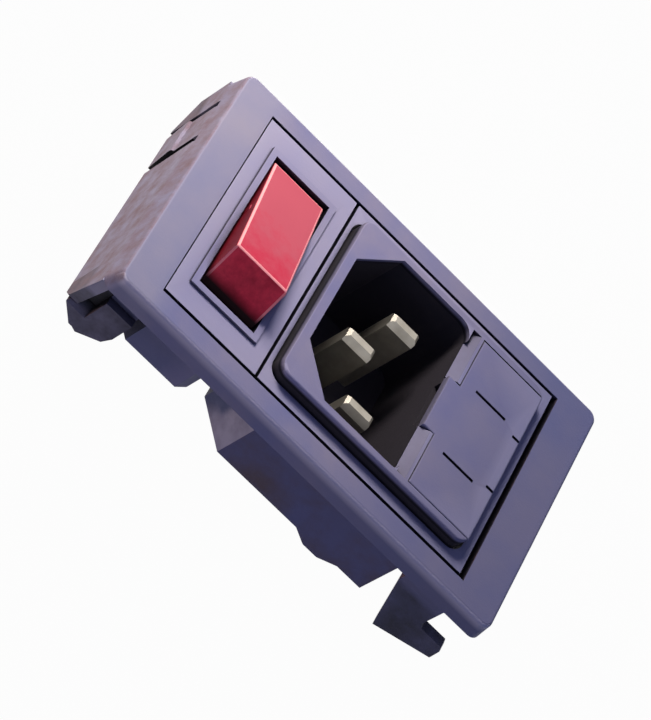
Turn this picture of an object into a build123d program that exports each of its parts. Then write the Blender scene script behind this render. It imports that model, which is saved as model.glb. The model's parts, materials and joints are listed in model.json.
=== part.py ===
from build123d import *
import math
import os

# Power entry module: a bezel frame that snaps into a panel, carrying a rocker switch
# and an appliance inlet with a fuse drawer.
# The origin is the middle of the flange's back face, where the panel's front lies.
# +Z leaves the panel towards the user, +X runs from the switch to the fuse drawer.

# Bezel frame
rim_left = 4.85
rim_right = 5.55
rim_side = 2.7
flange_thickness = 3.0
end_slope = 0.5
flange_corner = 1.3
flange_edge_round = 0.45
plate_thickness = 1.5
ledge_reach = 1.0
plate_gap_left = 0.15
plate_gap_middle = 0.4
plate_gap_right = 0.8
plate_gap_side = 0.45
locating_rib_depth = 1.8
locating_rib_wall = 1.1
right_wall_inset = 0.9
end_wall = 1.4
end_wall_depth = 9.0
finger_width = 5.3
finger_setback = 7.8
finger_slot = 1.0
finger_slot_rise = 0.4
finger_catch = 0.3
finger_catch_depth = 4.1
cross_bar_gap = 0.4
rib_overlap = 0.6
left_wall_low_setback = 0.5
left_wall_high_setback = 0.4
left_wall_lean = 2.0
left_wall_low_cut = 1.2
left_wall_high_cut = 3.4
right_wall_low_setback = 9.0
right_wall_high_setback = 3.5
right_wall_round = 1.5
hook_thickness = 1.4
hook_setback = 2.2
hook_leg = 6.2
hook_prong = 4.2
hook_reach = 0.35
hook_grip = 6.9
hook_tip_height = 2.2
hook_depth = 12.0
hook_round = 1.4
left_hook_thickness = 2.5
left_hook_leg = 3.8
left_hook_step = 1.1
left_hook_grip = 4.2
left_hook_heel = 7.8
left_hook_sole = 9.4
left_hook_depth = 11.1
left_toe_top = 7.0
left_toe_nose = 8.4
left_toe_depth = 10.8
left_toe_reach = 2.8
left_toe_slope = 1.0
left_toe_ramp = 2.0

# Switch
switch_plate_length = 13.7
rocker_width = 7.8
switch_end_gap = 0.9
rocker_rise = 2.2
rocker_swing = 13.0
nose_length = 5.6
nose_angle = 62.0
rocker_wall = 1.2
rocker_side_wall = 1.0
rocker_skirt = 1.1
rocker_round = 0.4
pivot_depth = 6.6
pivot_radius = 1.5
running_gap = 0.05
rocker_gap = 0.3
window_lip = 1.4
lip_rise = 0.35
lip_width = 0.8
switch_wall = 0.85
switch_end_wall = 1.3
switch_body_depth = 12.0
switch_corner = 1.2
contact_chamber_half = 7.6
contact_chamber_depth = 14.9
chamber_wall = 1.0
switch_floor = 1.0
pole_spacing = 4.4
pole_rib = 0.7
pole_rib_rise = 2.0
pivot_tab_width = 4.8
make_tab_width = 3.6
guide_depth = 1.5
plunger_radius = 1.1
plunger_gap = 0.1
plunger_top = 0.6
plunger_peg = 2.2
guide_wall = 0.6
spring_wire = 0.34
spring_wire_sides = 6
spring_turns = 5
spring_gap = 0.05
lever_thickness = 0.6
lever_width = 2.4
lever_half = 6.4
lever_swing = 7.0
fulcrum_radius = 0.45
fulcrum_height = 1.5
contact_radius = 0.9
contact_height = 0.5
terminal_head = 1.2
terminal_strip = 0.3

# Inlet and fuse drawer
recess_length = 16.5
recess_width = 24.0
recess_depth = 15.2
recess_chamfer = 5.1
recess_round_upper = 2.0
recess_round_lower = 0.8
recess_margin = 1.35
block_side_wall = 1.0
block_rise = 1.7
block_round = 1.6
border_left = 0.95
border_right = 1.65
border_side = 1.85
face_thickness = 1.0
lip_wall = 1.7
lip_bevel = 0.8
lip_land = 0.4
ring_gap = 0.35
body_chamfer = 4.6
body_round = 0.7
lug_length = 6.6
lug_depth = 1.3
lug_taper = 2.2
lug_offset = 2.7
body_side_wall = 1.9
body_floor = 0.8
drawer_length = 9.8
drawer_gap = 0.08
tab_width = 8.2
carrier_length = 6.5
bay_gap = 0.2
bay_end_wall = 0.8
carrier_setback = 0.4
carrier_end_wall = 1.0
carrier_lift = 0.6
carrier_web = 1.6
face_round = 0.3
drawer_round = 0.2
drawer_overlap = 1.0
grip_wall = 0.3
grip_depth = 1.2
groove_width = 0.4
groove_depth = 0.35
groove_offset = 1.1
groove_start = 2.1
groove_end = 6.9
tick_offset = 0.1
tick_length = 1.2
pin_length_x = 4.0
pin_thickness = 2.0
pin_pitch = 14.0
earth_offset = 4.0
pin_row_offset = 2.0
pin_recess = 2.4
earth_lead = 0.6
pin_slot_gap = 0.05
pin_tip_taper = 0.9
pin_tip_drop = 0.55
pin_tip_end = 0.4
tab_thickness = 0.8
tab_reach = 5.7
short_tail = 1.6
tab_clearance = 0.05
tab_chamfer = 0.8
tab_hole_place = 0.6
tab_hole_radius = 0.7
fuse_margin = 2.0
fuse_radius = 2.6
fuse_cap_length = 5.0
fuse_glass_radius = 2.35
fuse_glass_wall = 0.5
fuse_wire_radius = 0.12
fuse_end_gap = 0.15
cap_end = 0.3
cap_fit = 0.02
clip_thickness = 0.4
clip_width = 3.6
clip_half = 2.8
link_thickness = 0.5
link_margin = 0.8

# Positions along the length, from left to right, worked out from the sizes above
block_length = recess_margin + recess_length + lip_wall + drawer_length
block_width = recess_width + 2 * block_side_wall
inlet_plate_length = border_left + block_length + border_right
plate_width = block_width + 2 * border_side
drawer_width = recess_width
fuse_length = drawer_width - 2 * fuse_margin
window_length = plate_gap_left + switch_plate_length + plate_gap_middle + inlet_plate_length + plate_gap_right
window_width = plate_width + 2 * plate_gap_side
face_length = rim_left + window_length + rim_right
face_width = window_width + 2 * rim_side
window_left = -face_length / 2 + rim_left
window_right = window_left + window_length
window_x = (window_left + window_right) / 2
flange_half = face_length / 2 + end_slope
ledge_z = flange_thickness - plate_thickness
switch_x = window_left + plate_gap_left + switch_plate_length / 2
inlet_left = window_left + plate_gap_left + switch_plate_length + plate_gap_middle
inlet_right = inlet_left + inlet_plate_length
block_left = inlet_left + border_left
block_right = block_left + block_length
recess_left = block_left + recess_margin
recess_right = recess_left + recess_length
recess_x = (recess_left + recess_right) / 2
drawer_left = recess_right + lip_wall
block_top = flange_thickness + block_rise
body_top = block_top - face_thickness
recess_floor_z = block_top - recess_depth
body_bottom = recess_floor_z - body_floor
body_half = recess_width / 2 + body_side_wall
carrier_left = drawer_left + carrier_setback
carrier_right = carrier_left + carrier_length
bay_left = carrier_left - bay_gap
bay_right = carrier_right + bay_gap
body_right = bay_right + bay_end_wall


os.makedirs("parts", exist_ok=True)


# A rectangular block between two corners
def slab(x0, x1, y0, y1, z0, z1, mode=Mode.ADD):
    with Locations(((x0 + x1) / 2, (y0 + y1) / 2, z0)):
        return Box(x1 - x0, y1 - y0, z1 - z0, align=(Align.CENTER, Align.CENTER, Align.MIN), mode=mode)


# Name a finished piece and write it
def save(builder, label):
    builder.part.label = label
    export_step(builder.part, "parts/" + label + ".step")


# Switch geometry in the rocker's own frame: heights are measured from the pivot pin
pivot_z = flange_thickness - pivot_depth
top_height = pivot_depth + rocker_rise
switch_half = window_width / 2 - ledge_reach - switch_end_gap
cavity_half = switch_half - switch_end_wall
sweep_radius = cavity_half - 0.75 * rocker_gap
nose_height = top_height - nose_length * math.sin(math.radians(nose_angle))
nose_y = math.sqrt(sweep_radius ** 2 - nose_height ** 2)
flat_y = nose_y - nose_length * math.cos(math.radians(nose_angle))
lip_bottom = flange_thickness - window_lip
opening_half = math.sqrt(sweep_radius ** 2 - (lip_bottom - pivot_z) ** 2) + 0.75 * rocker_gap
opening_width = rocker_width + 2 * rocker_gap
switch_body_half_x = opening_width / 2 + switch_wall
switch_bottom = flange_thickness - switch_body_depth
chamber_floor_z = flange_thickness - contact_chamber_depth
chamber_bottom = chamber_floor_z - switch_floor
fulcrum_z = chamber_floor_z + fulcrum_height
lever_rest = fulcrum_radius + running_gap
lever_top = lever_rest + lever_thickness
plunger_tip = fulcrum_z + lever_top + plunger_gap - pivot_z
skirt_y = math.sqrt(sweep_radius ** 2 - rocker_skirt ** 2)


# The plane seen from +X that is turned about the X axis through a point
def tilted(x, z, degrees):
    turn = math.radians(degrees)
    return Plane(origin=(x, 0, z), x_dir=(0, math.cos(turn), math.sin(turn)), z_dir=(1, 0, 0))


# The plane whose normal is the tilted piece's own upward direction
def along(x, z, degrees, height):
    turn = math.radians(degrees)
    up = Vector(0, -math.sin(turn), math.cos(turn))
    return Plane(origin=Vector(x, 0, z) + up * height, x_dir=(1, 0, 0), z_dir=up)


# Toe of the left hooks: a low block with a ramp on its outer top edge, made for the upper hook
hook_y = face_width / 2 - hook_setback
left_inner = switch_x - switch_body_half_x - cross_bar_gap
left_leg = left_inner - left_hook_leg
toe_tip = left_leg - left_toe_reach
with BuildPart() as left_toe:
    with BuildSketch(Plane.XZ.offset(-hook_y)):
        with BuildLine():
            Polyline(
                (left_leg, -left_toe_top),
                (toe_tip + left_toe_slope, -left_toe_top),
                (toe_tip, -left_toe_nose),
                (left_leg - 0.5, -left_toe_depth),
                (left_leg, -left_toe_depth),
                close=True,
            )
        make_face()
    extrude(amount=left_hook_thickness)
    with BuildSketch(Plane.YZ.offset(toe_tip)):
        with BuildLine():
            Polyline(
                (hook_y, -left_toe_nose),
                (hook_y, -left_toe_top),
                (hook_y - left_toe_ramp, -left_toe_top),
                close=True,
            )
        make_face()
    extrude(amount=left_toe_reach, mode=Mode.SUBTRACT)


# Bezel frame: sloped flange ends, stepped window, cross bar, locating rib, end walls and hooks
with BuildPart() as bezel_frame:
    with BuildSketch(Plane.XZ.offset(-face_width / 2)):
        with BuildLine():
            Polyline(
                (-flange_half, 0),
                (flange_half, 0),
                (face_length / 2, flange_thickness),
                (-face_length / 2, flange_thickness),
                close=True,
            )
        make_face()
    extrude(amount=face_width)
    end_edges = bezel_frame.edges().filter_by_position(Axis.Z, 0.1, flange_thickness - 0.1)
    corner_edges = end_edges.group_by(Axis.Y)[0] + end_edges.group_by(Axis.Y)[-1]
    fillet(corner_edges, radius=flange_corner)
    fillet(bezel_frame.faces().sort_by(Axis.Z)[-1].edges(), radius=flange_edge_round)
    window_y = window_width / 2
    ledge_y = window_y - ledge_reach
    slab(window_left, window_right, -window_y, window_y, ledge_z, flange_thickness, Mode.SUBTRACT)
    slab(window_left + ledge_reach, window_right - ledge_reach, -ledge_y, ledge_y, 0, ledge_z, Mode.SUBTRACT)
    bar_left = switch_x + switch_body_half_x + cross_bar_gap
    bar_right = block_left - cross_bar_gap
    slab(bar_left, bar_right, -ledge_y, ledge_y, 0, ledge_z)

    # Locating rib on the back, round the window
    rib_y = window_y + rib_overlap
    rib_inner_y = rib_y - locating_rib_wall
    with BuildSketch(Plane.XY):
        with Locations((window_x, 0)):
            Rectangle(window_length, 2 * rib_y)
            Rectangle(window_length - 2 * locating_rib_wall, 2 * rib_inner_y, mode=Mode.SUBTRACT)
    extrude(amount=-locating_rib_depth)

    # Left end wall, flush with the flange's end: full width, leaning in at one edge, bottom corners cut
    face_y = face_width / 2
    wall_low = face_y - left_wall_low_setback
    wall_high = face_y - left_wall_high_setback
    with BuildSketch(Plane.YZ.offset(-flange_half)):
        with BuildLine():
            Polyline(
                (-wall_low, 0),
                (wall_high, 0),
                (wall_high, left_wall_high_cut - end_wall_depth),
                (wall_high - left_wall_high_cut, -end_wall_depth),
                (left_wall_lean + left_wall_low_cut - wall_low, -end_wall_depth),
                (left_wall_lean - wall_low, left_wall_low_cut - end_wall_depth),
                close=True,
            )
        make_face()
    extrude(amount=end_wall)

    # Right end wall, set back under the flange
    right_wall_x = flange_half - right_wall_inset
    right_low = face_y - right_wall_low_setback
    right_high = face_y - right_wall_high_setback
    with BuildSketch(Plane.YZ.offset(right_wall_x)) as wall_outline:
        with Locations(((right_high - right_low) / 2, -end_wall_depth / 2)):
            Rectangle(right_high + right_low, end_wall_depth)
        fillet(wall_outline.vertices().group_by(Axis.Y)[0], radius=right_wall_round)
    extrude(amount=-end_wall)

    # Two slots in each end wall leave a springy finger with a catch
    finger_centre = face_y - finger_setback
    for side, outer_x in ((-1, -flange_half), (1, right_wall_x)):
        with BuildSketch(Plane.XZ.offset(-finger_centre)):
            with BuildLine():
                Polyline(
                    (outer_x, -finger_catch_depth),
                    (outer_x + side * finger_catch, -finger_catch_depth - finger_catch),
                    (outer_x + side * finger_catch, -finger_catch_depth - 3 * finger_catch),
                    (outer_x, -end_wall_depth),
                    close=True,
                )
            make_face()
        extrude(amount=finger_width / 2, both=True)
    slot_spacing = finger_width + finger_slot
    with BuildSketch(Plane.XY.offset(finger_slot_rise)):
        for slot_y in (finger_centre - slot_spacing / 2, finger_centre + slot_spacing / 2):
            with Locations((-flange_half, slot_y), (right_wall_x, slot_y)):
                Rectangle(2 * end_wall, finger_slot)
    extrude(amount=-finger_slot_rise - end_wall_depth - 1, mode=Mode.SUBTRACT)

    # Right hooks by the corners: a leg, a prong and a sloped foot, with a rounded root
    tip_x = flange_half + hook_reach
    leg_x = tip_x - hook_prong
    inner_x = leg_x - hook_leg
    for side in (-1, 1):
        with BuildSketch(Plane.XZ.offset(-side * hook_y)):
            with BuildLine():
                Polyline(
                    (leg_x + hook_round, 0),
                    (inner_x, 0),
                    (inner_x, -0.3 * hook_depth),
                    (inner_x + 0.55 * hook_leg, -hook_depth),
                    (tip_x, -hook_grip - 0.4 - hook_tip_height),
                    (tip_x - 0.1, -hook_grip - 0.7),
                    (tip_x - 0.5, -hook_grip),
                    (leg_x + 0.5, -hook_grip),
                    (leg_x, 0.5 - hook_grip),
                    (leg_x, -hook_round),
                )
                RadiusArc((leg_x, -hook_round), (leg_x + hook_round, 0), hook_round)
            make_face()
        extrude(amount=side * hook_thickness)

    # Left hooks by the corners: a thin leg, a thicker foot whose shoulder grips the panel, and the toe
    for side in (-1, 1):
        leg_outer = side * (hook_y - left_hook_step)
        leg_inner = side * (hook_y - left_hook_thickness)
        leg_low = min(leg_outer, leg_inner)
        leg_high = max(leg_outer, leg_inner)
        slab(left_leg, left_inner, leg_low, leg_high, -left_hook_grip, 0)
        with BuildSketch(Plane.XZ.offset(-side * hook_y)):
            with BuildLine():
                Polyline(
                    (left_leg, -left_hook_grip),
                    (left_inner, -left_hook_grip),
                    (left_inner, -left_hook_heel),
                    (left_inner - 0.5, -left_hook_sole),
                    (left_leg + 0.7, -left_hook_depth),
                    (left_leg, -left_toe_depth),
                    close=True,
                )
            make_face()
        extrude(amount=side * left_hook_thickness)
    add(left_toe.part)
    add(mirror(left_toe.part, about=Plane.XZ))
save(bezel_frame, "bezel_frame")


# Switch housing: bezel plate with a raised lip, a deep body for the rocker and a contact chamber
contact_y = lever_half - contact_radius - 0.1
pole_x = (switch_x - pole_spacing / 2, switch_x + pole_spacing / 2)
swing = math.radians(lever_swing)
head_half = 0.45 * lever_width
stop_top = fulcrum_z + lever_rest * math.cos(swing) - lever_half * math.sin(swing) - running_gap
fixed_contact_z = (
    fulcrum_z
    + (lever_rest - contact_height) * math.cos(swing)
    - (contact_y + contact_radius) * math.sin(swing)
    - running_gap
)
chamber_outer = contact_chamber_half + chamber_wall

with BuildPart() as switch_housing:
    with BuildSketch(Plane.XY.offset(ledge_z)):
        with Locations((switch_x, 0)):
            Rectangle(switch_plate_length, plate_width)
    extrude(amount=plate_thickness)
    with BuildSketch(Plane.XY.offset(flange_thickness)):
        with Locations((switch_x, 0)):
            Rectangle(opening_width + 2 * lip_width, 2 * (opening_half + lip_width))
    extrude(amount=lip_rise)
    with BuildSketch(Plane.XY.offset(switch_bottom)) as body_outline:
        with Locations((switch_x, 0)):
            Rectangle(2 * switch_body_half_x, 2 * switch_half)
        chamfer(body_outline.vertices(), length=switch_corner)
    extrude(amount=ledge_z - switch_bottom)
    with BuildSketch(Plane.XY.offset(chamber_bottom)):
        with Locations((switch_x, 0)):
            Rectangle(2 * switch_body_half_x, 2 * chamber_outer)
    extrude(amount=switch_bottom - chamber_bottom)
    half = opening_width / 2
    slab(switch_x - half, switch_x + half, -opening_half, opening_half, lip_bottom, block_top, Mode.SUBTRACT)
    slab(
        switch_x - half,
        switch_x + half,
        -cavity_half,
        cavity_half,
        switch_bottom + switch_floor,
        lip_bottom,
        Mode.SUBTRACT,
    )
    slab(
        switch_x - half,
        switch_x + half,
        -contact_chamber_half,
        contact_chamber_half,
        chamber_floor_z,
        switch_bottom + switch_floor,
        Mode.SUBTRACT,
    )
    with BuildSketch(Plane.YZ.offset(switch_x)):
        with Locations((0, pivot_z)):
            Circle(pivot_radius + running_gap)
    extrude(amount=switch_body_half_x + 1, both=True, mode=Mode.SUBTRACT)
    rib_half = contact_chamber_half
    rib_x = pole_rib / 2
    slab(switch_x - rib_x, switch_x + rib_x, -rib_half, rib_half, chamber_floor_z, fulcrum_z + pole_rib_rise)
    slab(switch_x - half, switch_x + half, -lever_half - 0.5, 0.8 - lever_half, chamber_floor_z, stop_top)
    for x in pole_x:
        for y, width in ((0, pivot_tab_width), (contact_y, make_tab_width)):
            slab(
                x - tab_thickness / 2 - tab_clearance,
                x + tab_thickness / 2 + tab_clearance,
                y - width / 2 - tab_clearance,
                y + width / 2 + tab_clearance,
                chamber_bottom,
                chamber_floor_z,
                Mode.SUBTRACT,
            )
save(switch_housing, "switch_housing")


# Rocker: a hollow moulding with two bevelled noses, pivot stubs and two plunger guides
guide_bottom = -guide_depth
roof_height = top_height - rocker_wall
seat = tilted(switch_x, pivot_z, -rocker_swing)
mid_angle = (math.atan2(nose_height, nose_y) + math.atan2(rocker_skirt, skirt_y)) / 2
mid_y = sweep_radius * math.cos(mid_angle)
mid_height = sweep_radius * math.sin(mid_angle)

with BuildPart() as rocker:
    with BuildSketch(seat):
        with BuildLine():
            Line((-nose_y, nose_height), (-flat_y, top_height))
            Line((-flat_y, top_height), (flat_y, top_height))
            Line((flat_y, top_height), (nose_y, nose_height))
            ThreePointArc((nose_y, nose_height), (mid_y, mid_height), (skirt_y, rocker_skirt))
            Line((skirt_y, rocker_skirt), (-skirt_y, rocker_skirt))
            ThreePointArc((-skirt_y, rocker_skirt), (-mid_y, mid_height), (-nose_y, nose_height))
        make_face()
    extrude(amount=rocker_width / 2, both=True)
    up = seat.y_dir
    crown = rocker.faces().sort_by(Axis(seat.origin, up))[-1]
    fillet(crown.edges(), radius=rocker_round)
    with BuildSketch(seat):
        with BuildLine():
            Polyline(
                (rocker_wall - skirt_y, rocker_skirt - 1),
                (rocker_wall - skirt_y, rocker_skirt + 1),
                (rocker_wall - nose_y, nose_height - 0.3 * rocker_wall),
                (0.5 * rocker_wall - flat_y, roof_height),
                (flat_y - 0.5 * rocker_wall, roof_height),
                (nose_y - rocker_wall, nose_height - 0.3 * rocker_wall),
                (skirt_y - rocker_wall, rocker_skirt + 1),
                (skirt_y - rocker_wall, rocker_skirt - 1),
                close=True,
            )
        make_face()
    extrude(amount=rocker_width / 2 - rocker_side_wall, both=True, mode=Mode.SUBTRACT)
    for side in (-1, 1):
        with BuildSketch(seat.offset(side * (rocker_width / 2 - rocker_side_wall))):
            Circle(pivot_radius + rocker_wall)
            with Locations((0, (rocker_skirt + rocker_wall) / 2)):
                Rectangle(2 * (pivot_radius + rocker_wall), rocker_skirt + rocker_wall)
        extrude(amount=side * rocker_side_wall)
        with BuildSketch(seat.offset(side * rocker_width / 2)):
            Circle(pivot_radius)
        extrude(amount=side * (rocker_gap + switch_wall))
    for x in pole_x:
        with BuildSketch(along(x, pivot_z, -rocker_swing, guide_bottom)):
            Circle(plunger_radius + plunger_gap + guide_wall)
        extrude(amount=roof_height - guide_bottom + 0.2)
        with BuildSketch(along(x, pivot_z, -rocker_swing, roof_height)):
            Circle(plunger_radius + plunger_gap)
        extrude(amount=-roof_height - pivot_radius - rocker_wall, mode=Mode.SUBTRACT)
save(rocker, "rocker")


# Plungers, springs, contact levers and terminals, one set for each pole
for pole, x in zip(("a", "b"), pole_x):
    with BuildPart() as plunger:
        with BuildSketch(along(x, pivot_z, -rocker_swing, plunger_tip + plunger_radius)):
            Circle(plunger_radius)
        extrude(amount=plunger_top - plunger_tip - plunger_radius)
        with BuildSketch(along(x, pivot_z, -rocker_swing, plunger_top)):
            Circle(0.45 * plunger_radius)
        extrude(amount=plunger_peg)
        with Locations(along(x, pivot_z, -rocker_swing, plunger_tip + plunger_radius)):
            Sphere(plunger_radius)
    save(plunger, "plunger_" + pole)

    with BuildPart() as plunger_spring:
        coil_radius = plunger_radius - spring_wire / 2
        coil_base = plunger_top + spring_wire / 2 + spring_gap
        coil_height = roof_height - coil_base - spring_wire / 2 - spring_gap
        foot = along(x, pivot_z, -rocker_swing, coil_base)
        with BuildLine() as coil:
            Helix(
                pitch=coil_height / spring_turns,
                height=coil_height,
                radius=coil_radius,
                center=foot.origin,
                direction=foot.z_dir,
            )
        with BuildSketch(Plane(origin=coil.line @ 0, z_dir=coil.line % 0)):
            RegularPolygon(spring_wire / 2, spring_wire_sides)
        sweep(is_frenet=True)
    save(plunger_spring, "plunger_spring_" + pole)

    with BuildPart() as contact_lever:
        with BuildSketch(tilted(x, fulcrum_z, lever_swing)):
            with Locations((0, lever_rest)):
                Rectangle(2 * lever_half, lever_thickness, align=(Align.CENTER, Align.MIN))
            with Locations((contact_y, lever_rest)):
                Rectangle(2 * contact_radius, contact_height, align=(Align.CENTER, Align.MAX))
        extrude(amount=lever_width / 2, both=True)
    save(contact_lever, "contact_lever_" + pole)

    with BuildPart() as pivot_terminal:
        slab(
            x - tab_thickness / 2,
            x + tab_thickness / 2,
            -pivot_tab_width / 2,
            pivot_tab_width / 2,
            chamber_bottom - tab_reach,
            chamber_floor_z,
        )
        slab(x - head_half, x + head_half, -fulcrum_radius, fulcrum_radius, chamber_floor_z, fulcrum_z)
        with BuildSketch(Plane.YZ.offset(x)):
            with Locations((0, fulcrum_z)):
                Circle(fulcrum_radius)
        extrude(amount=head_half, both=True)
        with BuildSketch(Plane.YZ.offset(x)):
            with Locations((0, chamber_bottom - tab_hole_place * tab_reach)):
                Circle(tab_hole_radius)
        extrude(amount=tab_thickness, both=True, mode=Mode.SUBTRACT)
        chamfer(pivot_terminal.edges().filter_by(Axis.X).group_by(Axis.Z)[0], length=tab_chamfer)
    save(pivot_terminal, "pivot_terminal_" + pole)

    with BuildPart() as make_terminal:
        slab(
            x - tab_thickness / 2,
            x + tab_thickness / 2,
            contact_y - make_tab_width / 2,
            contact_y + make_tab_width / 2,
            chamber_bottom - tab_reach,
            chamber_floor_z,
        )
        strip_top = chamber_floor_z + terminal_strip
        slab(
            x - head_half,
            x + head_half,
            contact_y - terminal_head,
            contact_y + terminal_head,
            chamber_floor_z,
            strip_top,
        )
        with BuildSketch(Plane.XY.offset(strip_top)):
            with Locations((x, contact_y)):
                Circle(contact_radius)
        extrude(amount=fixed_contact_z - strip_top)
        with BuildSketch(Plane.YZ.offset(x)):
            with Locations((contact_y, chamber_bottom - tab_hole_place * tab_reach)):
                Circle(tab_hole_radius)
        extrude(amount=tab_thickness, both=True, mode=Mode.SUBTRACT)
        chamfer(make_terminal.edges().filter_by(Axis.X).group_by(Axis.Z)[0], length=tab_chamfer)
    save(make_terminal, "make_terminal_" + pole)


# The recess outline: two cut corners towards the switch, two rounded ones towards the drawer
def recess_profile(plane):
    half = recess_width / 2
    with BuildSketch(plane) as profile:
        with BuildLine():
            Polyline(
                (recess_left, half - recess_chamfer),
                (recess_left + recess_chamfer, half),
                (recess_right, half),
                (recess_right, -half),
                (recess_left + recess_chamfer, -half),
                (recess_left, recess_chamfer - half),
                close=True,
            )
        make_face()
        fillet(profile.vertices().group_by(Axis.X)[-1].sort_by(Axis.Y)[-1], radius=recess_round_upper)
        fillet(profile.vertices().group_by(Axis.X)[-1].sort_by(Axis.Y)[0], radius=recess_round_lower)
    return profile.sketch


# The raised block's outline in plan, with rounded corners
def block_profile(plane, grow):
    with BuildSketch(plane) as profile:
        with Locations(((block_left + block_right) / 2, 0)):
            RectangleRounded(block_length + 2 * grow, block_width + 2 * grow, block_round + grow)
    return profile.sketch


# Inlet frame: the thin plate round the raised block, level with the bezel
with BuildPart() as inlet_frame:
    with BuildSketch(Plane.XY.offset(ledge_z)):
        with Locations(((inlet_left + inlet_right) / 2, 0)):
            Rectangle(inlet_plate_length, plate_width)
    extrude(amount=plate_thickness)
    extrude(block_profile(Plane.XY.offset(ledge_z), ring_gap), amount=plate_thickness, mode=Mode.SUBTRACT)
save(inlet_frame, "inlet_frame")


# Inlet body: the insulating moulding with the connector recess, pin slots and fuse bay
pin_x = recess_x + pin_row_offset
earth_x = pin_x - earth_offset
pocket_y = fuse_length / 2 + fuse_end_gap
carrier_half = pocket_y + carrier_end_wall
bay_half = carrier_half + bay_gap
clip_y = fuse_length / 2 - fuse_cap_length / 2
bay_x = (bay_left + bay_right) / 2
lug_x = bay_x - lug_offset
lug_width = body_half - bay_half
pin_places = (
    ("line_pin", pin_x, pin_pitch / 2),
    ("neutral_pin", pin_x, -pin_pitch / 2),
    ("earth_pin", earth_x, 0),
)

with BuildPart() as inlet_body:
    with BuildSketch(Plane.XY.offset(body_bottom)) as outline:
        with Locations(((block_left + body_right) / 2, 0)):
            Rectangle(body_right - block_left, 2 * body_half)
        chamfer(outline.vertices().group_by(Axis.X)[0], length=body_chamfer)
    extrude(amount=ledge_z - body_bottom)
    extrude(block_profile(Plane.XY.offset(ledge_z), 0), amount=body_top - ledge_z)
    for side in (-1, 1):
        with BuildSketch(Plane.XZ.offset(-side * body_half)):
            with BuildLine():
                Polyline(
                    (lug_x - lug_length / 2, body_bottom + lug_depth),
                    (lug_x - lug_length / 2, body_bottom),
                    (lug_x - lug_length / 2 + lug_taper, body_bottom - lug_depth),
                    (lug_x + lug_length / 2 - lug_taper, body_bottom - lug_depth),
                    (lug_x + lug_length / 2, body_bottom),
                    (lug_x + lug_length / 2, body_bottom + lug_depth),
                    close=True,
                )
            make_face()
        extrude(amount=side * lug_width)
    fillet(inlet_body.edges().filter_by(Axis.Y).group_by(Axis.Z)[0], radius=body_round)
    extrude(recess_profile(Plane.XY.offset(recess_floor_z)), amount=recess_depth, mode=Mode.SUBTRACT)
    slab(bay_left, bay_right, -bay_half, bay_half, recess_floor_z, block_top, Mode.SUBTRACT)
    grip_half = 0.4 * tab_width
    grip_right = drawer_left - grip_wall
    slab(recess_left, grip_right, -grip_half, grip_half, body_top - grip_depth, body_top, Mode.SUBTRACT)
    for label, x, y in pin_places:
        slab(
            x - pin_length_x / 2 - pin_slot_gap,
            x + pin_length_x / 2 + pin_slot_gap,
            y - pin_thickness / 2 - pin_slot_gap,
            y + pin_thickness / 2 + pin_slot_gap,
            body_bottom,
            recess_floor_z,
            Mode.SUBTRACT,
        )
    for side in (-1, 1):
        slab(
            bay_x - tab_thickness / 2 - tab_clearance,
            bay_x + tab_thickness / 2 + tab_clearance,
            side * clip_y - clip_width / 2 - tab_clearance,
            side * clip_y + clip_width / 2 + tab_clearance,
            body_bottom,
            recess_floor_z,
            Mode.SUBTRACT,
        )
save(inlet_body, "inlet_body")


# Inlet face: the pale cover plate on the block, with a bevelled lip beside the drawer
with BuildPart() as inlet_face:
    extrude(block_profile(Plane.XY.offset(body_top), 0), amount=face_thickness)
    fillet(inlet_face.faces().sort_by(Axis.Z)[-1].edges(), radius=face_round)
    extrude(recess_profile(Plane.XY.offset(body_top)), amount=face_thickness, mode=Mode.SUBTRACT)
    pocket_half = drawer_width / 2
    slab(drawer_left, block_right + 1, -pocket_half, pocket_half, body_top, block_top, Mode.SUBTRACT)
    notch_half = tab_width / 2 + drawer_gap
    slab(recess_right - 0.5, drawer_left + 0.5, -notch_half, notch_half, body_top, block_top, Mode.SUBTRACT)
    with BuildSketch(Plane.XZ):
        with BuildLine():
            Polyline(
                (recess_right, block_top - lip_bevel),
                (recess_right + lip_wall - lip_land, block_top),
                (recess_right, block_top),
                close=True,
            )
        make_face()
    extrude(amount=recess_width / 2, both=True, mode=Mode.SUBTRACT)
save(inlet_face, "inlet_face")


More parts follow.
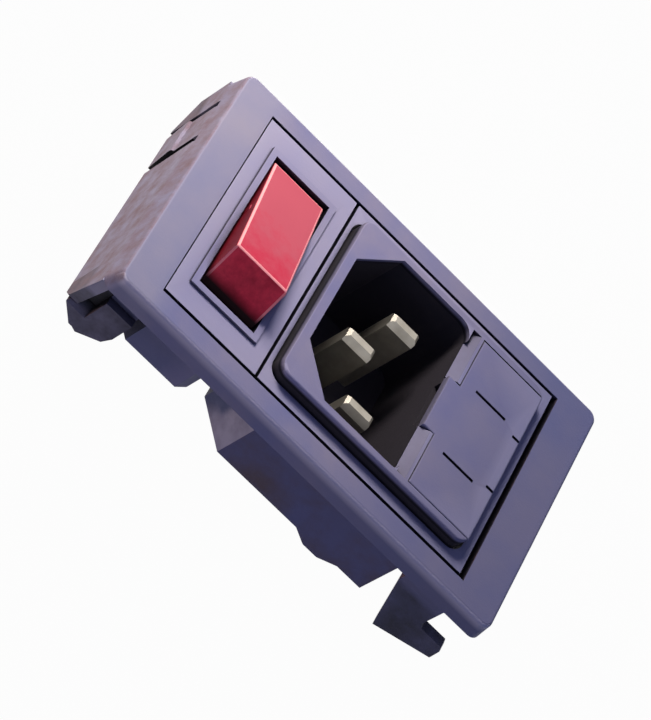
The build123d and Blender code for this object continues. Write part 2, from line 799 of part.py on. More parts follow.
# Fuse drawer: the flush front with its tab and grooves, and the carrier for two fuses
carrier_bottom = recess_floor_z + carrier_lift
fuse_z = recess_floor_z + clip_thickness + running_gap + fuse_radius
spare_z = fuse_z + 2 * fuse_radius + carrier_web
carrier_x = (carrier_left + carrier_right) / 2
with BuildPart() as fuse_drawer:
    face_half = drawer_width / 2 - drawer_gap
    slab(drawer_left + drawer_gap, block_right, -face_half, face_half, body_top, block_top)
    tab_left = recess_right + drawer_gap
    tab_right = drawer_left + drawer_overlap
    slab(tab_left, tab_right, -tab_width / 2, tab_width / 2, body_top, block_top)
    fillet(fuse_drawer.faces().sort_by(Axis.Z)[-1].edges(), radius=drawer_round)
    slab(carrier_left, carrier_right, -carrier_half, carrier_half, carrier_bottom, body_top)
    pocket_x = fuse_radius + running_gap
    slab(
        carrier_x - pocket_x,
        carrier_x + pocket_x,
        -pocket_y,
        pocket_y,
        carrier_bottom,
        fuse_z + fuse_radius + running_gap,
        Mode.SUBTRACT,
    )
    slab(
        carrier_left,
        carrier_x + pocket_x,
        -pocket_y,
        pocket_y,
        spare_z - pocket_x,
        spare_z + pocket_x,
        Mode.SUBTRACT,
    )
    for side in (-1, 1):
        groove_y = side * (tab_width / 2 + groove_offset)
        tick_y = side * (tab_width / 2 + tick_offset)
        slab(
            drawer_left + groove_start,
            drawer_left + groove_end,
            groove_y - groove_width / 2,
            groove_y + groove_width / 2,
            block_top - groove_depth,
            block_top,
            Mode.SUBTRACT,
        )
        slab(
            block_right - tick_length,
            block_right,
            tick_y - groove_width / 2,
            tick_y + groove_width / 2,
            block_top - groove_depth,
            block_top,
            Mode.SUBTRACT,
        )
save(fuse_drawer, "fuse_drawer")


# Blade pins with a rounded tip, each with its tail behind the body
pin_top = block_top - pin_recess
for label, x, y in pin_places:
    lead = earth_lead if label == "earth_pin" else 0
    tail = short_tail if label == "line_pin" else tab_reach
    with BuildPart() as pin:
        slab(
            x - pin_length_x / 2,
            x + pin_length_x / 2,
            y - pin_thickness / 2,
            y + pin_thickness / 2,
            body_bottom,
            pin_top + lead,
        )
        tip = pin.faces().sort_by(Axis.Z)[-1]
        chamfer(tip.edges().filter_by(Axis.X), length=pin_tip_taper, length2=pin_tip_drop)
        chamfer(pin.faces().sort_by(Axis.Z)[-1].edges().filter_by(Axis.Y), length=pin_tip_end)
        slab(
            x - pin_length_x / 2,
            x + pin_length_x / 2,
            y - tab_thickness / 2,
            y + tab_thickness / 2,
            body_bottom - tail,
            body_bottom,
        )
        if tail == tab_reach:
            with BuildSketch(Plane.XZ.offset(-y)):
                with Locations((x, body_bottom - tab_hole_place * tail)):
                    Circle(tab_hole_radius)
            extrude(amount=tab_thickness, both=True, mode=Mode.SUBTRACT)
            chamfer(pin.edges().filter_by(Axis.Y).group_by(Axis.Z)[0], length=tab_chamfer)
    save(pin, label)


# Fuse clips on the bay floor, and the strip that joins the line pin to the first clip
for label, side, tail in (("fuse_clip_in", 1, short_tail), ("fuse_clip_out", -1, tab_reach)):
    y = side * clip_y
    with BuildPart() as clip:
        with BuildSketch(Plane.XZ.offset(-y)):
            with BuildLine():
                Polyline(
                    (bay_x - clip_half, recess_floor_z),
                    (bay_x + clip_half, recess_floor_z),
                    (bay_x + clip_half, recess_floor_z + clip_thickness),
                    (bay_x - clip_half, recess_floor_z + clip_thickness),
                    close=True,
                )
            make_face()
        extrude(amount=clip_width / 2, both=True)
        slab(
            bay_x - tab_thickness / 2,
            bay_x + tab_thickness / 2,
            y - clip_width / 2,
            y + clip_width / 2,
            body_bottom - tail,
            recess_floor_z,
        )
    save(clip, label)

with BuildPart() as fuse_link:
    link_low = min(pin_pitch / 2 - tab_thickness / 2, clip_y - clip_width / 2) - link_margin
    link_high = max(pin_pitch / 2 + tab_thickness / 2, clip_y + clip_width / 2) + link_margin
    slab(
        pin_x - pin_length_x / 2 - link_margin,
        bay_x + tab_thickness / 2 + link_margin,
        link_low,
        link_high,
        body_bottom - link_thickness,
        body_bottom,
    )
    slab(
        pin_x - pin_length_x / 2 - pin_slot_gap,
        pin_x + pin_length_x / 2 + pin_slot_gap,
        pin_pitch / 2 - tab_thickness / 2 - pin_slot_gap,
        pin_pitch / 2 + tab_thickness / 2 + pin_slot_gap,
        body_bottom - link_thickness,
        body_bottom,
        Mode.SUBTRACT,
    )
    slab(
        bay_x - tab_thickness / 2 - tab_clearance,
        bay_x + tab_thickness / 2 + tab_clearance,
        clip_y - clip_width / 2 - tab_clearance,
        clip_y + clip_width / 2 + tab_clearance,
        body_bottom - link_thickness,
        body_bottom,
        Mode.SUBTRACT,
    )
save(fuse_link, "fuse_link")


# Two glass fuses: the working one at the bottom of the drawer and the spare above it
for label, z in (("fuse", fuse_z), ("spare_fuse", spare_z)):
    with BuildPart() as fuse_glass:
        with BuildSketch(Plane.XZ):
            with Locations((carrier_x, z)):
                Circle(fuse_glass_radius)
                Circle(fuse_glass_radius - fuse_glass_wall, mode=Mode.SUBTRACT)
        extrude(amount=fuse_length / 2 - cap_end - cap_fit, both=True)
    save(fuse_glass, label + "_glass")

    with BuildPart() as fuse_caps:
        for side in (-1, 1):
            with BuildSketch(Plane.XZ.offset(side * fuse_length / 2)):
                with Locations((carrier_x, z)):
                    Circle(fuse_radius)
            extrude(amount=-side * fuse_cap_length)
            with BuildSketch(Plane.XZ.offset(side * (fuse_length / 2 - cap_end))):
                with Locations((carrier_x, z)):
                    Circle(fuse_glass_radius + cap_fit)
            extrude(amount=-side * fuse_cap_length, mode=Mode.SUBTRACT)
    save(fuse_caps, label + "_caps")

    with BuildPart() as fuse_wire:
        with BuildSketch(Plane.XZ):
            with Locations((carrier_x, z)):
                Circle(fuse_wire_radius)
        extrude(amount=fuse_length / 2 - cap_end - cap_fit, both=True)
    save(fuse_wire, label + "_wire")
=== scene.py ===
import bmesh
import bpy
import json
import math
from mathutils import Matrix, Vector


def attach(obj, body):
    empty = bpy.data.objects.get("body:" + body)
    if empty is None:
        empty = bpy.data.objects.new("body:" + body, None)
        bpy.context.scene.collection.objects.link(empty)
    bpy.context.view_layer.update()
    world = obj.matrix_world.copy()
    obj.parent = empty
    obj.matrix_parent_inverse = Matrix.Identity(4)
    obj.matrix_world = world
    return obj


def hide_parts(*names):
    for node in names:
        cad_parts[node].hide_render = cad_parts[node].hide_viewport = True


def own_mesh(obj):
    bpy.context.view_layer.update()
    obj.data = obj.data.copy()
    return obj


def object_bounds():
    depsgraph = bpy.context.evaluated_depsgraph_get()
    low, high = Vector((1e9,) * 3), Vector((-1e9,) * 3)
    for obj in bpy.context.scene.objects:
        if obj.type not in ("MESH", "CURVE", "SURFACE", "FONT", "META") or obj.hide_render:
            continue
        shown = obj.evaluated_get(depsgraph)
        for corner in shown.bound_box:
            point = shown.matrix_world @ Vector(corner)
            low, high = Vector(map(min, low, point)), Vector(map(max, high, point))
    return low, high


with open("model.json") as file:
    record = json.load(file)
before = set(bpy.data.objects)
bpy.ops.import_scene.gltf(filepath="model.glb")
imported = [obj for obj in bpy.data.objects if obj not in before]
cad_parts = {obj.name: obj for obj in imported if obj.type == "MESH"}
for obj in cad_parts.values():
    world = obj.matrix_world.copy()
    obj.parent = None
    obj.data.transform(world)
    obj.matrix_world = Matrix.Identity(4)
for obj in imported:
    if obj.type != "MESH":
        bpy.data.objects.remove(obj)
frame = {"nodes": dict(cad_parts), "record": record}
cadLow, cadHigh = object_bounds()
nodes = frame["nodes"]
mm = 0.001
print("frame loaded:", len(nodes), "nodes")


# One socket of a node tree: an expression on it adds Math nodes
class Wire:
    def __init__(self, tree, socket=None):
        self.tree = tree
        self.socket = socket

    def node(self, kind, settings, sockets, out=0):
        made = self.tree.nodes.new(kind)
        for key, value in settings.items():
            setattr(made, key, value)
        for key, value in sockets.items():
            if isinstance(value, Wire):
                self.tree.links.new(value.socket, made.inputs[key])
            else:
                made.inputs[key].default_value = value
        return None if out is None else Wire(self.tree, made.outputs[out])

    def maths(self, operation, first, second=0.0, clamp=False):
        settings = {"operation": operation, "use_clamp": clamp}
        return self.node("ShaderNodeMath", settings, {0: first, 1: second})

    def __add__(self, other):
        return self.maths("ADD", self, other)

    def __radd__(self, other):
        return self.maths("ADD", other, self)

    def __sub__(self, other):
        return self.maths("SUBTRACT", self, other)

    def __rsub__(self, other):
        return self.maths("SUBTRACT", other, self)

    def __mul__(self, other):
        return self.maths("MULTIPLY", self, other)

    def __rmul__(self, other):
        return self.maths("MULTIPLY", other, self)

    def over(self, edge):
        return self.maths("GREATER_THAN", self, edge)

    def absolute(self):
        return self.maths("ABSOLUTE", self)

    def clamped(self):
        return self.maths("ADD", self, 0.0, clamp=True)

    # From zero to one above an edge, or below it
    def rising(self, edge, gain):
        return ((self - edge) * gain).clamped()

    def falling(self, edge, gain):
        return ((edge - self) * gain).clamped()

    # Noise stretched about its middle, which moves to the level given
    def stretched(self, gain, level):
        return (self - 0.5) * gain + level


# A Mix node's colours are its sockets 6 and 7, and its colour result is 2
def colourMix(wire, factor, first, second):
    return wire.node(
        "ShaderNodeMix",
        {"data_type": "RGBA", "clamp_factor": True},
        {0: factor, 6: first, 7: second},
        out=2,
    )


def lin(red, green, blue):
    def one(v):
        v = v / 255
        return v / 12.92 if v <= 0.04045 else ((v + 0.055) / 1.055) ** 2.4
    return (one(red), one(green), one(blue), 1.0)


def newMaterial(name):
    material = bpy.data.materials.new(name)
    material.use_nodes = True
    material.node_tree.nodes.clear()
    return material, Wire(material.node_tree)


def objectPlace(wire):
    return wire.node("ShaderNodeTexCoord", {}, {}, out="Object")


def finishMaterial(wire, shader):
    wire.node("ShaderNodeOutputMaterial", {}, {"Surface": shader}, out=None)


def noise(wire, place, scale, detail=3.0, rough=0.5):
    return wire.node(
        "ShaderNodeTexNoise",
        {},
        {"Vector": place, "Scale": scale, "Detail": detail, "Roughness": rough},
    )


def bump(wire, height, strength, distance):
    sockets = {"Height": height, "Strength": strength, "Distance": distance}
    return wire.node("ShaderNodeBump", {}, sockets)


# The parts of a vector, such as a point or a normal in the object's own frame
def parts(wire, vector):
    split = wire.node("ShaderNodeSeparateXYZ", {}, {"Vector": vector}).socket.node
    return [Wire(wire.tree, out) for out in split.outputs]


def facing(wire):
    return parts(wire, wire.node("ShaderNodeTexCoord", {}, {}, out="Normal"))


# A face is turned one way where its normal's part along that way is above this
turnedShare = 0.5


# One inside the recess and fuse bay, with its two cut corners, and on the black block's rim
def insideRecess(wire, place, look):
    x, y, z = parts(wire, place)
    across = y.absolute()
    low, high = look["innerX"]
    inside = x.over(low) * (1.0 - x.over(high)) * (1.0 - across.over(look["innerY"]))
    inside = inside * z.over(look["innerFloor"]) * (1.0 - (across - x).over(look["innerCorner"]))
    return (inside + z.over(look["blackAbove"])).clamped()


# The rocker's top in a painted sheen that shades darker towards one end, a pale painted highlight on its
# rounded rim and outer corners, painted shade on its flanks and streaked ends, and painted shade where
# the ends enter the housing
def rockerTones(wire, place, look, body):
    lean = math.radians(look["lean"])
    normalX, normalY, normalZ = facing(wire)
    crown = normalY * math.sin(lean) + normalZ * math.cos(lean)
    top = crown.over(look["rimTo"])
    rim = crown.over(look["rimFrom"]) * (1.0 - top)
    x, y, z = parts(wire, place)
    height = y * math.sin(lean) + (z - look["pivotHeight"]) * math.cos(lean)
    # Painted shade, near black, low on the rocker where its ends enter the housing
    deep = height.falling(look["deepFrom"], look["deepGain"])
    sideways = normalX.absolute()
    flank = sideways.rising(look["flankFrom"], look["flankGain"])
    corner = (x - look["middle"]).absolute().over(look["cornerFrom"]) * (1.0 - flank) * (1.0 - top)
    streak = noise(wire, place, look["streakScale"], 4.0, 0.65)
    streaked = streak.stretched(look["streakGain"], look["streakLevel"]).clamped()
    streaked = streaked * (1.0 - top) * (1.0 - rim)
    # Painted sheen on the top, shading darker towards the -y end as painted shade, mottled at random
    topShadeBlend = streak.stretched(look["topShadeGain"], look["topShadeLevel"]) - y * look["topShadeSlope"]
    topSheenTone = colourMix(wire, topShadeBlend.clamped(), look["top"], look["topShadeTone"])
    # Painted highlight on the rounded rim, weaker on the side ridges, and on the outer corners
    lost = sideways.rising(look["lossFrom"], look["lossGain"]) * look["sideRidgeLoss"]
    ridgeHighlight = rim * (1.0 - lost)
    body = colourMix(wire, top * look["topShare"], body, topSheenTone)
    # Painted shade on the ends, streaked at random, and on the flanks
    body = colourMix(wire, streaked * look["streakShare"], body, look["paintedShade"])
    body = colourMix(wire, flank * look["flankShare"], body, look["paintedShade"])
    body = colourMix(wire, ridgeHighlight * look["ridgeShare"], body, look["ridgeHighlight"])
    body = colourMix(wire, corner * look["cornerShare"], body, look["ridgeHighlight"])
    return colourMix(wire, deep, body, look["deepShadeTone"]), top


# Painted shade darkens the frame's hooks and blackens the slots of its sprung finger, and a painted
# highlight makes the pale band along the front edge of the flange's long sides
def frameTones(wire, place, look, body):
    x, y, z = parts(wire, place)
    normalX, normalY, normalZ = facing(wire)
    across = y.absolute()
    # Painted shade on the hooks below the flange, mottled at random
    hook = across.over(look["hookSide"])
    below = z.falling(look["hookTop"], look["hookGain"])
    shadeMottle = noise(wire, place, look["shadeMottleScale"], 4.0, 0.6)
    share = shadeMottle.stretched(look["shadeMottleGain"], look["hookShare"]).clamped()
    body = colourMix(wire, hook * below * share, body, look["hookShadeTone"])
    # Painted shade, near black, on the left end's faces below the front that are not turned outward,
    # filling the finger's slots
    aside = (1.0 - (0.0 - normalX).over(turnedShare)) * (1.0 - z.over(look["slotTop"]))
    slot = aside * (look["slotFrom"] - x).over(0.0) * (1.0 - hook)
    body = colourMix(wire, slot, body, look["slotShadeTone"])
    # Painted highlight on the upper part of the flange's long sides, off the front face
    band = across.over(look["bandSide"]) * z.rising(look["bandFrom"], look["bandGain"])
    band = band * (1.0 - normalZ.rising(look["frontFrom"], look["frontGain"]))
    return colourMix(wire, band * look["bandShare"], body, look["bandHighlightTone"])


# A painted sheen greys the end beside the switch, and painted shade keeps the drawer's end darker and
# cooler
def paintedLightAlong(wire, place, look, body):
    x = parts(wire, place)[0]
    near = x.falling(look["nearFrom"], look["nearGain"])
    far = x.rising(look["farFrom"], look["farGain"])
    body = colourMix(wire, near * look["nearShare"], body, look["nearSheenTone"])
    return colourMix(wire, far * look["farShare"], body, look["farShadeTone"])


# Painted light on what faces the switch's end, from a slant on, mottled at random; on the plates this
# tone is darker, a painted shade
endFacingSlant = {"from": 0.35, "gain": 4.0}


def endFacingLightTones(wire, place, look, body):
    mottle = noise(wire, place, look["endFacingScale"], 5.0, 0.65)
    share = mottle.stretched(look["endFacingGain"], look["endFacingShare"]).clamped()
    turned = (0.0 - facing(wire)[0]).rising(endFacingSlant["from"], endFacingSlant["gain"])
    return colourMix(wire, turned * share, body, look["endFacingTone"])


# Painted shade at the foot of the block's steep sides
def footShadeTones(wire, place, look, body):
    steep = 1.0 - facing(wire)[2].absolute().over(turnedShare)
    foot = parts(wire, place)[2].falling(look["wallTop"], look["wallGain"]) * steep
    return colourMix(wire, foot, body, look["wallShadeTone"])


# Moulded plastic: a spark-eroded skin, slow colour drift, edges lightened by rubbing and a painted
# highlight, and crevices darkened by painted shade, with the tones that its look names
def mouldedPlastic(name, look):
    material, wire = newMaterial(name)
    place = objectPlace(wire)
    drift = noise(wire, place, look["driftScale"], 2.0)
    patch = noise(wire, place, look["driftScale"] * 4.0, 4.0, 0.6)
    blend = (drift * 0.65 + patch * 0.35).stretched(look["driftGain"], 0.5)
    body = colourMix(wire, blend.clamped(), look["cool"], look["warm"])
    # Convex edges lighter: rubbed wear together with a painted highlight
    edge = wire.node("ShaderNodeNewGeometry", {}, {}, out="Pointiness")
    rubbedAndHighlit = edge.rising(look["edgeStart"], look["edgeGain"])
    body = colourMix(wire, rubbedAndHighlit * look["edgeShare"], body, look["edge"])
    # Painted shade: crevices and gaps darken where ambient occlusion finds them
    reach = {"Distance": look["creviceReach"]}
    openness = wire.node("ShaderNodeAmbientOcclusion", {"samples": 8}, reach, out="AO")
    paintedShade = openness.falling(look["creviceEdge"], look["creviceGain"])
    grain = noise(wire, place, look["grainScale"], 2.0, 0.7)
    rough = (grain + patch - 1.0) * look["roughSpread"] + look["rough"]
    if "farShadeTone" in look:
        body = paintedLightAlong(wire, place, look, body)
    if "hookShadeTone" in look:
        body = frameTones(wire, place, look, body)
    if "endFacingTone" in look:
        body = endFacingLightTones(wire, place, look, body)
    if "wallShadeTone" in look:
        body = footShadeTones(wire, place, look, body)
    body = colourMix(wire, paintedShade, body, look["paintedShade"])
    if "inner" in look:
        body = colourMix(wire, insideRecess(wire, place, look), body, look["inner"])
    coat = look["coat"]
    if "ridgeHighlight" in look:
        body, crown = rockerTones(wire, place, look, body)
        coat = crown * look["topCoat"]
    shader = wire.node(
        "ShaderNodeBsdfPrincipled",
        {},
        {
            "Base Color": body,
            "Roughness": rough,
            "Coat Weight": coat,
            "Coat Roughness": look["coatRough"],
            "Specular IOR Level": look["specular"],
            "Normal": bump(wire, grain, look["grainDepth"], 0.00004),
        },
    )
    finishMaterial(wire, shader)
    return material


bezelLook = {
    # The edge tone stands for rubbed wear and a painted highlight
    "cool": lin(110, 112, 148), "warm": lin(134, 128, 148), "edge": lin(170, 166, 190),
    "driftScale": 60.0, "driftGain": 3.0, "grainScale": 4200.0, "grainDepth": 0.35,
    "rough": 0.54, "roughSpread": 0.16, "coat": 0.0, "coatRough": 0.3, "specular": 0.1,
    "edgeStart": 0.53, "edgeGain": 12.0, "edgeShare": 0.45,
    "nearSheenTone": lin(164, 160, 168), "nearFrom": -0.0215, "nearGain": 320.0, "nearShare": 0.28,
    "farShadeTone": lin(70, 78, 116), "farFrom": -0.002, "farGain": 40.0, "farShare": 0.5,
    "paintedShade": lin(16, 16, 22), "creviceReach": 0.0022, "creviceEdge": 0.68, "creviceGain": 3.2,
    "endFacingTone": lin(118, 96, 102), "endFacingScale": 380.0, "endFacingShare": 0.52, "endFacingGain": 2.6,
}
frameLook = dict(bezelLook, **{
    "slotShadeTone": lin(14, 13, 18), "slotFrom": -0.0262, "slotTop": -0.0006,
    "bandHighlightTone": lin(206, 200, 214), "bandSide": 0.0172, "bandFrom": 0.0015,
    "bandGain": 1000.0, "bandShare": 0.68, "frontFrom": 0.8, "frontGain": 6.0,
    "hookShadeTone": lin(22, 21, 25), "hookSide": 0.0128, "hookTop": -0.0032, "hookGain": 900.0,
    "hookShare": 0.68, "shadeMottleScale": 260.0, "shadeMottleGain": 1.2,
})
plateLook = dict(
    bezelLook,
    cool=lin(114, 114, 150), warm=lin(136, 130, 150),
    endFacingTone=lin(84, 80, 96), endFacingShare=0.8, endFacingGain=0.5,
    creviceReach=0.0026, creviceEdge=0.76,
)
faceLook = dict(plateLook, wallShadeTone=lin(22, 21, 28), wallTop=0.0044, wallGain=2500.0)
blackLook = {
    "cool": lin(94, 98, 140), "warm": lin(92, 76, 78), "edge": lin(140, 134, 148),
    "inner": lin(50, 47, 52), "innerX": (-0.0079, 0.0177), "innerY": 0.0126, "innerFloor": -0.0107,
    "innerCorner": 0.0160, "blackAbove": 0.0012, "endFacingTone": lin(172, 170, 190),
    "endFacingScale": 300.0, "endFacingShare": 0.8, "endFacingGain": 1.6,
    "driftScale": 80.0, "driftGain": 4.0, "grainScale": 4600.0, "grainDepth": 0.3,
    "rough": 0.5, "roughSpread": 0.18, "coat": 0.0, "coatRough": 0.3, "specular": 0.06,
    "edgeStart": 0.54, "edgeGain": 10.0, "edgeShare": 0.35,
    "paintedShade": lin(12, 11, 12), "creviceReach": 0.004, "creviceEdge": 0.6, "creviceGain": 2.5,
}
redLook = {
    "cool": lin(206, 44, 68), "warm": lin(224, 74, 88), "edge": lin(250, 170, 172),
    # The ridge tone is a painted highlight
    "ridgeHighlight": lin(255, 176, 176), "ridgeShare": 0.8,
    "sideRidgeLoss": 0.6, "lossFrom": 1 / 6, "lossGain": 1.2,
    # The top tone is a painted sheen
    "top": lin(160, 84, 97), "topShare": 0.7, "topCoat": 0.15,
    "rimFrom": 0.62, "rimTo": 0.985, "lean": 13.0, "flankFrom": 0.7, "flankGain": 5.0, "flankShare": 0.8,
    "streakScale": 420.0, "streakGain": 2.4, "streakLevel": 0.35, "streakShare": 0.6,
    "pivotHeight": -0.0036, "deepFrom": 0.0057, "deepGain": 800.0, "deepShadeTone": lin(20, 4, 10),
    "middle": -0.01685, "cornerFrom": 0.00362, "cornerShare": 0.45,
    "topShadeTone": lin(170, 30, 62), "topShadeGain": 2.0, "topShadeSlope": 120.0, "topShadeLevel": 0.12,
    "driftScale": 90.0, "driftGain": 1.6, "grainScale": 5200.0, "grainDepth": 0.1,
    "rough": 0.4, "roughSpread": 0.12, "coat": 0.0, "coatRough": 0.25, "specular": 0.05,
    "edgeStart": 0.53, "edgeGain": 14.0, "edgeShare": 0.0,
    "paintedShade": lin(50, 4, 12), "creviceReach": 0.002, "creviceEdge": 0.5, "creviceGain": 2.0,
}
whiteLook = {
    "cool": lin(214, 212, 202), "warm": lin(226, 222, 210), "edge": lin(240, 238, 230),
    "driftScale": 120.0, "driftGain": 1.0, "grainScale": 4000.0, "grainDepth": 0.1,
    "rough": 0.45, "roughSpread": 0.1, "coat": 0.0, "coatRough": 0.3, "specular": 0.5,
    "edgeStart": 0.55, "edgeGain": 8.0, "edgeShare": 0.2,
    "paintedShade": lin(120, 116, 108), "creviceReach": 0.001, "creviceEdge": 0.5, "creviceGain": 1.5,
}


# Metal: rolled or drawn, with fine lines one way and dull patches
def rolledMetal(name, look):
    material, wire = newMaterial(name)
    place = objectPlace(wire)
    drawn = wire.node("ShaderNodeMapping", {}, {"Vector": place, "Scale": look["stretch"]})
    lines = noise(wire, drawn, look["lineScale"], 3.0, 0.6)
    dull = noise(wire, place, look["dullScale"], 3.0)
    tone = colourMix(wire, dull.stretched(2.0, 0.5).clamped(), look["bright"], look["dull"])
    shader = wire.node(
        "ShaderNodeBsdfPrincipled",
        {},
        {
            "Base Color": tone,
            "Metallic": 1.0,
            "Roughness": lines.stretched(0.2, dull.stretched(0.25, look["rough"])),
            "Normal": bump(wire, lines, 0.15, 0.00002),
        },
    )
    finishMaterial(wire, shader)
    return material


brassLook = {
    "bright": lin(222, 186, 112), "dull": lin(176, 138, 78), "rough": 0.3,
    "stretch": (1.0, 1.0, 0.08), "lineScale": 3000.0, "dullScale": 260.0,
}
nickelLook = {
    "bright": lin(192, 186, 176), "dull": lin(142, 136, 126), "rough": 0.5,
    "stretch": (1.0, 1.0, 0.08), "lineScale": 3200.0, "dullScale": 300.0,
}
wireLook = dict(nickelLook, rough=0.34, stretch=(1.0, 1.0, 1.0))


def clearGlass(name):
    material, wire = newMaterial(name)
    smear = noise(wire, objectPlace(wire), 300.0, 3.0)
    glass = wire.node(
        "ShaderNodeBsdfPrincipled",
        {},
        {
            "Base Color": lin(222, 236, 238),
            "Roughness": 0.05 + smear * 0.08,
            "Transmission Weight": 1.0,
            "IOR": 1.47,
        },
    )
    finishMaterial(wire, glass)
    return material


finishes = {
    "bezel": mouldedPlastic("bezelPlastic", frameLook),
    "module_plate": mouldedPlastic("platePlastic", plateLook),
    "inlet_black": mouldedPlastic("inletBlack", blackLook),
    "rocker_red": mouldedPlastic("rockerRed", redLook),
    "plated_blade": rolledMetal("bladeNickel", nickelLook),
    "brass_contact": rolledMetal("contactBrass", brassLook),
    "spring_steel": rolledMetal("springWire", wireLook),
    "plunger_white": mouldedPlastic("plungerWhite", whiteLook),
    "fuse_glass": clearGlass("fuseTube"),
    "fuse_cap": rolledMetal("fuseCap", nickelLook),
    "fuse_wire": rolledMetal("fuseWire", wireLook),
}
slotOf = {entry["node"]: entry["material_slot"] for entry in frame["record"]["subparts"]}
for name, obj in nodes.items():
    for slot in obj.material_slots:
        slot.material = finishes[slotOf[name]]
facePlastic = mouldedPlastic("facePlastic", faceLook)
for slot in nodes["inlet_face"].material_slots:
    slot.material = facePlastic
print("materials on", len(slotOf), "nodes")


# Webs that close the corner between the left end wall and each left hook's leg, in millimetres, coloured
# near black as painted shade
webSettings = {
    "x": (-27.9, -26.0), "outer": 14.55, "inner": 13.9, "z": (-7.1, 0.2), "bevel": 0.12,
    "cool": lin(24, 23, 30), "warm": lin(34, 31, 36), "edge": lin(60, 56, 66),
}


def addPiece(name, mesh, material, body):
    bmesh.ops.recalc_face_normals(mesh, faces=mesh.faces)
    data = bpy.data.meshes.new(name)
    mesh.to_mesh(data)
    mesh.free()
    data.materials.append(material)
    piece = bpy.data.objects.new(name, data)
    bpy.context.scene.collection.objects.link(piece)
    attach(piece, body)


def block(mesh, low, high):
    made = bmesh.ops.create_cube(mesh, size=1.0)["verts"]
    size = [(b - a) * mm for a, b in zip(low, high)]
    middle = [(b + a) * mm / 2 for a, b in zip(low, high)]
    bmesh.ops.scale(mesh, verts=made, vec=size)
    bmesh.ops.translate(mesh, verts=made, vec=middle)


def makeWebs():
    web = webSettings
    look = dict(frameLook, cool=web["cool"], warm=web["warm"], edge=web["edge"])
    # Near-black plastic: painted shade for the shadowed corner
    dark = mouldedPlastic("webShadePlastic", look)
    for name, side in (("hookShadeWeb.low", -1), ("hookShadeWeb.high", 1)):
        mesh = bmesh.new()
        near, far = sorted((side * web["inner"], side * web["outer"]))
        block(mesh, (web["x"][0], near, web["z"][0]), (web["x"][1], far, web["z"][1]))
        bmesh.ops.bevel(
            mesh, geom=list(mesh.edges), offset=web["bevel"] * mm,
            segments=2, profile=0.5, affect="EDGES", material=-1,
        )
        addPiece(name, mesh, dark, "module")


makeWebs()
print("webs made")


def makeSprings():
    for pole in ("a", "b"):
        cad = "plunger_spring_" + pole
        coil = bpy.data.objects.new("coil." + pole, nodes[cad].data.copy())
        bpy.context.scene.collection.objects.link(coil)
        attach(coil, "rocker_body")
        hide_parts(cad)
        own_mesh(coil)


makeSprings()
print("springs made")


# The floor keeps the object's shadow under its white glow
floorSettings = {"size": 3.0, "drop": 0.0006, "tone": lin(112, 112, 116), "glow": 0.975}


# One for the rays that show the background: from the camera, in reflections and through glass
def seenWhite(wire):
    camera, glossy, through = (
        wire.node("ShaderNodeLightPath", {}, {}, out=name)
        for name in ("Is Camera Ray", "Is Glossy Ray", "Is Transmission Ray")
    )
    return (camera + glossy + through).clamped()


def makeFloor():
    mesh = bmesh.new()
    bmesh.ops.create_grid(mesh, x_segments=1, y_segments=1, size=floorSettings["size"] / 2)
    bmesh.ops.translate(mesh, verts=mesh.verts, vec=(0, 0, cadLow[2] - floorSettings["drop"]))
    data = bpy.data.meshes.new("floor")
    mesh.to_mesh(data)
    mesh.free()
    floor = bpy.data.objects.new("floor", data)
    bpy.context.scene.collection.objects.link(floor)
    material, wire = newMaterial("paperWhite")
    paper = wire.node("ShaderNodeBsdfDiffuse", {}, {"Color": floorSettings["tone"], "Roughness": 1.0})
    glow = wire.node("ShaderNodeEmission", {}, {"Color": (1, 1, 1, 1), "Strength": 1.0})
    share = seenWhite(wire) * floorSettings["glow"]
    mixed = wire.node("ShaderNodeMixShader", {}, {0: share, 1: paper, 2: glow})
    finishMaterial(wire, mixed)
    data.materials.append(material)


makeFloor()

# The backdrop is white where it shows, and lights the object a weak blue
skySettings = {"tint": (0.36, 0.44, 1.0, 1), "strength": 0.18}


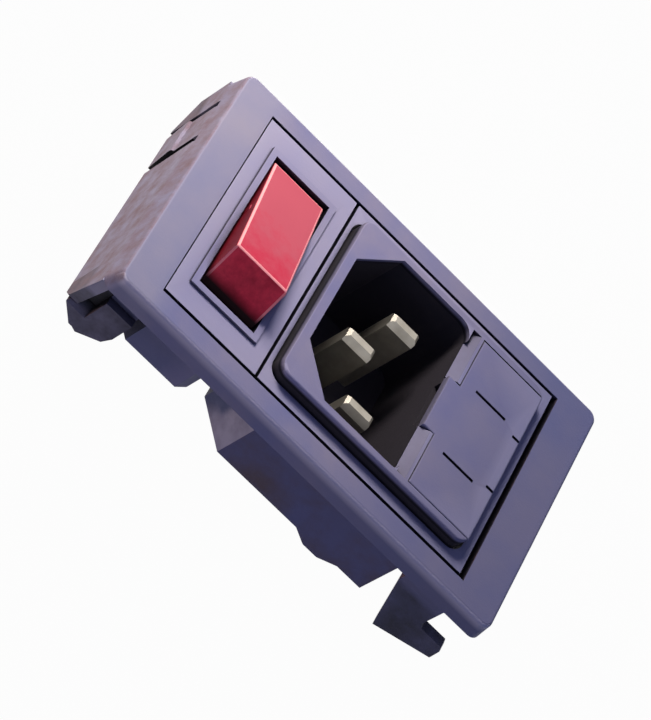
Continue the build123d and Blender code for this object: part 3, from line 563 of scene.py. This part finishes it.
def makeSky():
    world = bpy.data.worlds.new("studio")
    bpy.context.scene.world = world
    world.use_nodes = True
    world.node_tree.nodes.clear()
    sky = Wire(world.node_tree)
    tint, strength = skySettings["tint"], skySettings["strength"]
    plain = sky.node("ShaderNodeBackground", {}, {"Color": tint, "Strength": strength})
    white = sky.node("ShaderNodeBackground", {}, {"Color": (1, 1, 1, 1), "Strength": 1.0})
    both = sky.node("ShaderNodeMixShader", {}, {0: seenWhite(sky), 1: plain, 2: white})
    sky.node("ShaderNodeOutputWorld", {}, {"Surface": both}, out=None)


makeSky()

# Each lamp's name, place, diameter, power in watts and tint
lampSettings = [
    ("key", (-0.078, 0.070, 0.098), 0.06, 0.305, (1.0, 0.93, 0.86)),
    ("side", (-0.24, -0.085, 0.002), 0.03, 0.15, (1.0, 0.78, 0.68)),
    ("low", (0.02, -0.34, 0.03), 0.12, 0.11, (0.62, 0.68, 1.0)),
    ("fill", (0.05, -0.30, 0.55), 0.30, 0.23, (0.50, 0.60, 1.0)),
]


def makeLamp(name, place, size, power, tint):
    data = bpy.data.lights.new(name, "AREA")
    data.shape = "DISK"
    data.size = size
    data.energy = power
    data.color = tint
    obj = bpy.data.objects.new(name, data)
    at = Vector(place)
    obj.matrix_world = Matrix.Translation(at) @ at.to_track_quat("Z", "Y").to_matrix().to_4x4()
    bpy.context.scene.collection.objects.link(obj)


for lamp in lampSettings:
    makeLamp(*lamp)

# The camera fitted to the photograph: its place, its axes and its frame in pixels
cameraSettings = {
    "at": (-0.1242, -0.3093, 0.3212),
    "up": (-0.6735, 0.6454, 0.3604),
    "back": (-0.2641, -0.6655, 0.6981),
    "focalPixels": 4167.5,
    "frame": (651, 720),
}


def makeCamera():
    shot = cameraSettings
    data = bpy.data.cameras.new("photoCamera")
    data.sensor_fit = "VERTICAL"
    data.sensor_height = 36.0
    data.lens = data.sensor_height * shot["focalPixels"] / shot["frame"][1]
    data.clip_start = 0.01
    data.clip_end = 10.0
    back = Vector(shot["back"]).normalized()
    up = Vector(shot["up"])
    up = (up - back * up.dot(back)).normalized()
    right = up.cross(back)
    turn = Matrix((right, up, back)).transposed().to_4x4()
    camera = bpy.data.objects.new("photoCamera", data)
    camera.matrix_world = Matrix.Translation(Vector(shot["at"])) @ turn
    bpy.context.scene.collection.objects.link(camera)
    bpy.context.scene.camera = camera


makeCamera()
print("stage, lamps and camera set")

bpy.context.scene.view_settings.view_transform = "Standard"
